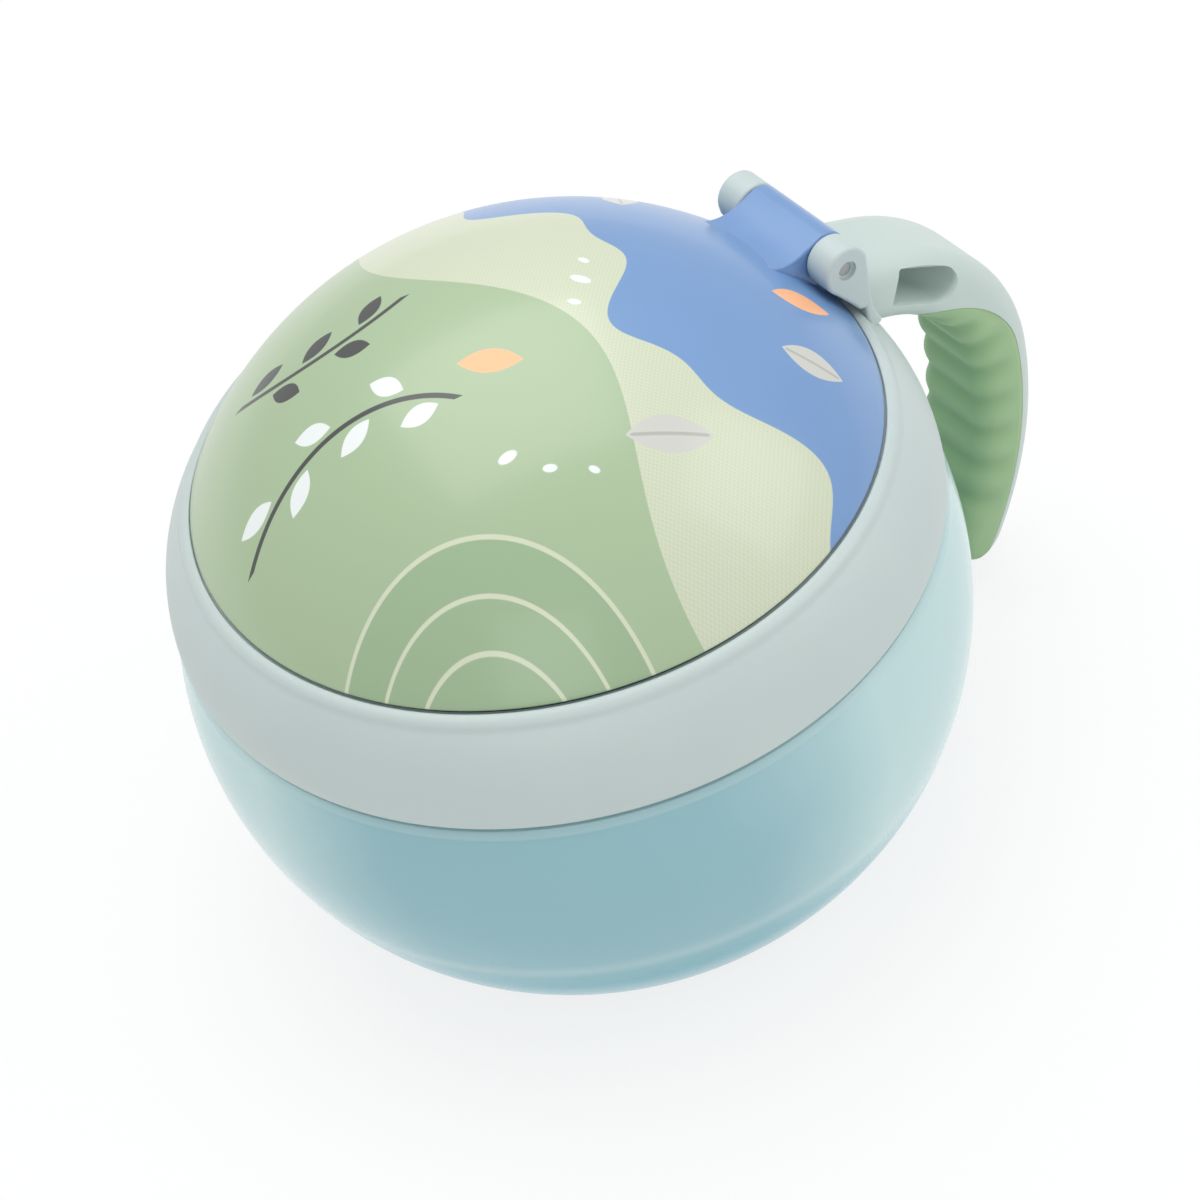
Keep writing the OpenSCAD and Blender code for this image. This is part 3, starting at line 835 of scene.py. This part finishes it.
# %% [markdown]
# ## Finish of the bowl
# The bowl's plastic is milky: light goes in, spreads and comes out paler than the wall. Real
# absorption in a volume would show that, but it is slow and doesn't travel with the mesh. So a
# small share of the light is let through, and the rest is colour: a soft aqua that is deeper in
# the thick foot, with painted shade that makes it deepest in one patch on the side away from the
# key lamp, and painted highlights in two thin pale lines where the wall would gather light.
# Faint streaks of flow show that it was moulded.

# %% Mix the milky aqua
PAINTED_SHADE_AQUA, PALE_AQUA, FOOT_AQUA = srgb(158, 200, 209), srgb(203, 231, 232), srgb(56, 172, 190)
PAINTED_HIGHLIGHT_AQUA = srgb(206, 232, 233)
FOOT_TOP, PAINTED_GLINT_AT, PAINTED_RIM_AT = 20.5, 21.0, 47.2
PAINTED_SHADE_SIDE = (0.82, -0.57)
aqua = Finish("milky_aqua")
x, y, z = aqua.place()
flow = aqua.noise(40.0, 3.0)
girth = (x ** 2 + y ** 2) ** 0.5
# painted shade: the aqua is deepest in one patch on the side away from the key lamp and paler
# elsewhere
toward_painted_shade = (x * PAINTED_SHADE_SIDE[0] + y * PAINTED_SHADE_SIDE[1]) / girth
pale = ((0.92 - toward_painted_shade) * 3.8 + (flow - 0.5) * 0.5).held()
# painted highlights: a thin pale line low on the belly and a pale band at its top under the collar
painted_glint = (1 - (z - PAINTED_GLINT_AT).size() / 2.0).held()
foot = ((FOOT_TOP - z) / 5.5).held()
painted_rim_highlight = ((z - PAINTED_RIM_AT) * 3.0).held()
tint = aqua.mix(pale, PAINTED_SHADE_AQUA, PALE_AQUA)
tint = aqua.mix(painted_glint * 0.3, tint, PAINTED_HIGHLIGHT_AQUA)
tint = aqua.mix(foot * 0.72, tint, FOOT_AQUA)
tint = aqua.mix(painted_rim_highlight * 0.35, tint, PAINTED_HIGHLIGHT_AQUA)
grain = aqua.noise(2600.0, 1.0)
aqua_finish = aqua.surface(
    Base_Color=tint, Roughness=0.16 + flow * 0.06, IOR=1.46, Specular_IOR_Level=0.1,
    Transmission_Weight=0.12, Coat_Weight=0.12, Coat_Roughness=0.08,
    Normal=aqua.bump(grain, 0.01, 0.1))

# %% [markdown]
# ## Finish of the collar
# Collar and handle are one moulding in a pale grey green with a satin skin. A satin mould is
# blasted with fine grit, so the plastic has a very fine grain that softens every highlight. A
# high roughness alone would look like chalk. A fine bump under a thin, dull coat keeps the
# plastic's own soft shine.

# %% Mix the satin plastic
def satin(name, light, shade):
    """Satin plastic between two close shades, with the grain of a blasted mould."""
    skin = Finish(name)
    cloud = skin.noise(55.0, 3.0)
    grain = skin.noise(3200.0, 2.0)
    worn = skin.noise(160.0, 4.0)
    return skin.surface(
        Base_Color=skin.mix(cloud, shade, light),
        Roughness=0.40 + worn * 0.10, IOR=1.48, Coat_Weight=0.10, Coat_Roughness=0.35,
        Normal=skin.bump(grain, 0.012, 0.25))


collar_finish = satin("satin_collar", srgb(196, 208, 206), srgb(189, 202, 201))
handle_finish = satin("satin_handle", srgb(199, 212, 208), srgb(193, 207, 202))

# %% [markdown]
# ## Finish of the grip
# The grip is a soft rubber. It scatters light at its surface and has next to no shine, and the
# bottom of each groove is painted a little darker, as painted shade. The depth that was kept as an
# attribute tells the finish where the grooves are, so that the painted shade stays in them however
# the grip is bent.

# %% Mix the soft rubber
soft = Finish("soft_grip")
cloud = soft.noise(70.0, 3.0)
grain = soft.noise(2400.0, 3.0)
# painted shade: the grooves are darkened by their depth
painted_groove_shade = soft.node("ShaderNodeAttribute", {"attribute_name": "groove"}, out=2)
rubber = soft.mix(cloud, srgb(152, 184, 138), srgb(162, 193, 147))
grip_finish = soft.surface(
    Base_Color=soft.mix(painted_groove_shade * 0.5, rubber, srgb(124, 162, 118)),
    Roughness=0.62 + grain * 0.14, IOR=1.45, Sheen_Weight=0.12, Sheen_Roughness=0.5,
    Normal=soft.bump(grain, 0.02, 0.3))

# %% [markdown]
# ## Finish of the pin and the flap
# The pin is drawn steel, with fine rings on its cut ends, which are the sine of the distance
# from its axis. The flap is silicone: smooth, milky and a little dusty, with a shallow mark
# where its leaves are hinged. Both are drawn by sums over the place, so they need no picture.

# %% Mix the steel
steel = Finish("drawn_steel")
_, y, z = steel.place()
from_pin = ((y - pin[0]) ** 2 + (z - pin[1]) ** 2) ** 0.5
rings = (from_pin * 42.0).sine() * 0.5 + 0.5
wear = steel.noise(900.0, 3.0)
steel_finish = steel.surface(
    Base_Color=steel.mix(wear, srgb(150, 152, 151), srgb(178, 180, 180)), Metallic=0.85,
    Roughness=0.32 + wear * 0.15, Normal=steel.bump(rings, 0.004, 0.3))

# %% Mix the silicone
silicone = Finish("flap_silicone")
x, y, _ = silicone.place()
dust = silicone.noise(300.0, 4.0)
from_axis = (x ** 2 + y ** 2) ** 0.5
ring_mark = 1 - ((from_axis - 30.5).size() * 1.5).held()
silicone_finish = silicone.surface(
    Base_Color=silicone.mix(dust, srgb(222, 229, 226), srgb(232, 238, 235)),
    Roughness=0.5 + dust * 0.15, IOR=1.41, Subsurface_Weight=0.15, Subsurface_Scale=0.002,
    Normal=silicone.bump(ring_mark, 0.08, 0.4))

# %% [markdown]
# ## Print on the lid
# The lid is printed and then glazed, in flat colours with crisp edges. The print here is a
# plain meadow: hills, a pale field with a fine woven screen, sprigs, leaves and pebbles. A
# picture could be wrapped over the dome, but it would blur close by. So a shape is a distance
# to its edge in millimetres, seen from above, and a mask is where that distance is positive.
# Shapes are then laid over each other like cut paper, and stay crisp at any size.

# %% Define the shapes of the print
lid_paint = Finish("printed_lid")
x, y, z = lid_paint.place()


def inside(distance, crisp=9.0):
    """A mask that is 1 where the distance is positive, with an edge a tenth of a mm wide."""
    return (distance * crisp + 0.5).held()


def turned_to(at_x, at_y, angle):
    """Distances along and across a line through (at_x, at_y), turned by angle degrees."""
    c, s = math.cos(math.radians(angle)), math.sin(math.radians(angle))
    return (x - at_x) * c + (y - at_y) * s, (y - at_y) * c - (x - at_x) * s


def leaf(at_x, at_y, length, width, angle):
    """A leaf with pointed ends, and the distance from its midrib."""
    u, v = turned_to(at_x, at_y, angle)
    return width / 2 - (u * u) * (width / 2 / (length / 2) ** 2) - v.size(), v


def pebble(at_x, at_y, length, width, angle):
    """A round-ended stone."""
    u, v = turned_to(at_x, at_y, angle)
    u = u / (length / width)
    return width / 2 - (u * u + v * v) ** 0.5


def hill(at_x, at_y, radius):
    """A round hill, or any other round patch."""
    return radius - ((x - at_x) ** 2 + (y - at_y) ** 2) ** 0.5


print("shapes:", ", ".join(shape.__name__ for shape in (leaf, pebble, hill)))

# %% Lay the hills
BLUE, GREEN, FIELD = srgb(115, 151, 199), srgb(168, 189, 153), srgb(211, 217, 191)
GREY, ORANGE, INK = srgb(205, 204, 198), srgb(254, 184, 134), srgb(72, 74, 73)
WHITE, MOSS, VEIN = srgb(236, 241, 240), srgb(156, 181, 144), srgb(178, 179, 173)
WEAVE = 10.4
layers = []


def lay(mask, colour):
    """Prints a colour over what is there already."""
    layers.append((mask, colour))


wash = lid_paint.noise(30.0, 2.0)
sky_blue = lid_paint.mix(wash, srgb(112, 148, 197), srgb(121, 157, 204))
screen_dots = (x * WEAVE).sine() * (y * WEAVE).sine() * 0.5 + 0.5
woven = lid_paint.mix(screen_dots * 0.55, FIELD, srgb(190, 199, 175))
lay(inside((x * 0.16 + 2.3).sine() * 4.5 + (x * 0.41).sine() * 1.6 + 14.0 - y), woven)
lay(inside((x * 0.10 + 0.4).sine() * 5.5 - y), GREEN)
bank = hill(40, -34, 22)
lay(inside(bank + 0.5), FIELD)
lay(inside(bank), MOSS)
for reach_in in (5, 9.5, 14):
    lay(inside(0.22 - (bank - reach_in).size()), FIELD)
print(len(layers), "layers of hills")


# %% Lay the sprigs
def sprig(middle_x, middle_y, radius, from_angle, leaves, colour):
    """A curved stem with a leaf on alternate sides every 11 degrees of its arc."""
    reach = math.radians(11 * (leaves + 1) / 2)
    turn_to = math.radians(from_angle) + reach
    ahead = (x - middle_x) * math.cos(turn_to) + (y - middle_y) * math.sin(turn_to)
    lay(inside(0.35 - hill(middle_x, middle_y, radius).size())
        * inside(ahead - radius * math.cos(reach)), INK)
    for i in range(leaves):
        angle = math.radians(from_angle + 11 * (i + 1))
        side_r = radius + (2.4 if i % 2 else -2.4)
        body, _ = leaf(middle_x + side_r * math.cos(angle), middle_y + side_r * math.sin(angle),
                       5.0, 2.6, math.degrees(angle) + (60 if i % 2 else 120))
        lay(inside(body), colour)


sprig(22, -32, 24, 122, 6, WHITE)
sprig(-32, -8, 22, -62, 5, INK)
print(len(layers), "layers with the sprigs")

# %% Lay the leaves and pebbles
for place in ((13, 34, 6.5, 3.8, 69), (-31, 20, 6.5, 3.6, 20), (8, -6, 8, 3.4, 50)):
    lay(inside(leaf(*place)[0]), ORANGE)
for place in ((23, 28, 6.5, 4.2, 50), (-16, 28, 9, 4.4, 155), (27, 5, 10, 4.4, 65)):
    body, from_midrib = leaf(*place)
    lay(inside(body), GREY)
    lay(inside(body - 0.4) * inside(0.2 - from_midrib.size()), VEIN)
for place in ((4, 10, 2.6, 1.3, 30), (7, 7, 1.6, 0.9, 40), (1, 12.5, 1.5, 0.9, 20),
              (19, -12, 2.4, 1.2, 80), (23, -9, 1.7, 0.9, 60), (26, -5, 1.3, 0.8, 40)):
    lay(inside(pebble(*place)), WHITE)
print(len(layers), "layers with the leaves and pebbles")

# %% [markdown]
# ## Plain inside
# Only the outside of the real lid is printed, and its inside is the bare blue plastic. A second
# material slot would need the faces sorted by hand. The outside is one sphere, so the distance
# from that sphere's centre tells outside from inside.

# %% Keep the inside plain and stack the layers
from_centre = (x ** 2 + y ** 2 + (z - dome_z) ** 2) ** 0.5
lay(inside(dome_r - 0.7 - from_centre, 4.0), BLUE)
paint = sky_blue
for mask, colour in layers:
    paint = lid_paint.mix(mask, paint, colour)
print(len(layers), "layers in all")

# %% Glaze the lid
orange_peel = lid_paint.noise(120.0, 2.0)
lid_finish = lid_paint.surface(
    Base_Color=paint, Roughness=0.3 + orange_peel * 0.06, IOR=1.5, Coat_Weight=0.3,
    Coat_Roughness=0.12, Normal=lid_paint.bump(orange_peel, 0.02, 0.12))

# %% Glaze the strap
plain = Finish("glossy_blue")
peel = plain.noise(160.0, 2.0)
strap_finish = plain.surface(
    Base_Color=plain.mix(peel, srgb(110, 146, 196), srgb(118, 154, 202)),
    Roughness=0.3 + peel * 0.06, IOR=1.5, Coat_Weight=0.3, Coat_Roughness=0.16,
    Normal=plain.bump(peel, 0.02, 0.12))

# %% [markdown]
# ## Everything rides
# Each piece is tied to the body that carries it, so the lid opens with its strap, and the
# collar takes the handle, the grip and the pin along as it turns. Parenting one object to
# another would move the pieces too, but the frame knows the joints and their limits. So each
# row below names a piece, its finish, its body, its material slot and the solids that it
# stands for.

# %% Paint the pieces and tie them to their bodies
for piece, finish, body, slot, nodes in (
        (bowl, aqua_finish, "bowl_body", "bowl", ["bowl"]),
        (bowl_thread, aqua_finish, "bowl_body", "bowl", []),
        (flap, silicone_finish, "flap_body", "flap", ["flap"]),
        (collar, collar_finish, "collar_body", "collar", ["collar"]),
        (collar_thread, collar_finish, "collar_body", "collar", []),
        (collar_ears, collar_finish, "collar_body", "collar", []),
        (handle, handle_finish, "collar_body", "handle", ["handle"]),
        (grip, grip_finish, "collar_body", "grip", ["grip"]),
        (rod, steel_finish, "collar_body", "pin", ["hinge_pin"]),
        (lid, lid_finish, "lid_body", "lid", ["lid"]),
        (strap, strap_finish, "lid_body", "lid", [])):
    piece.data.materials.clear()
    piece.data.materials.append(finish)
    if nodes:
        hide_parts(*nodes)
    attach(piece, body)
print("pieces dressed")
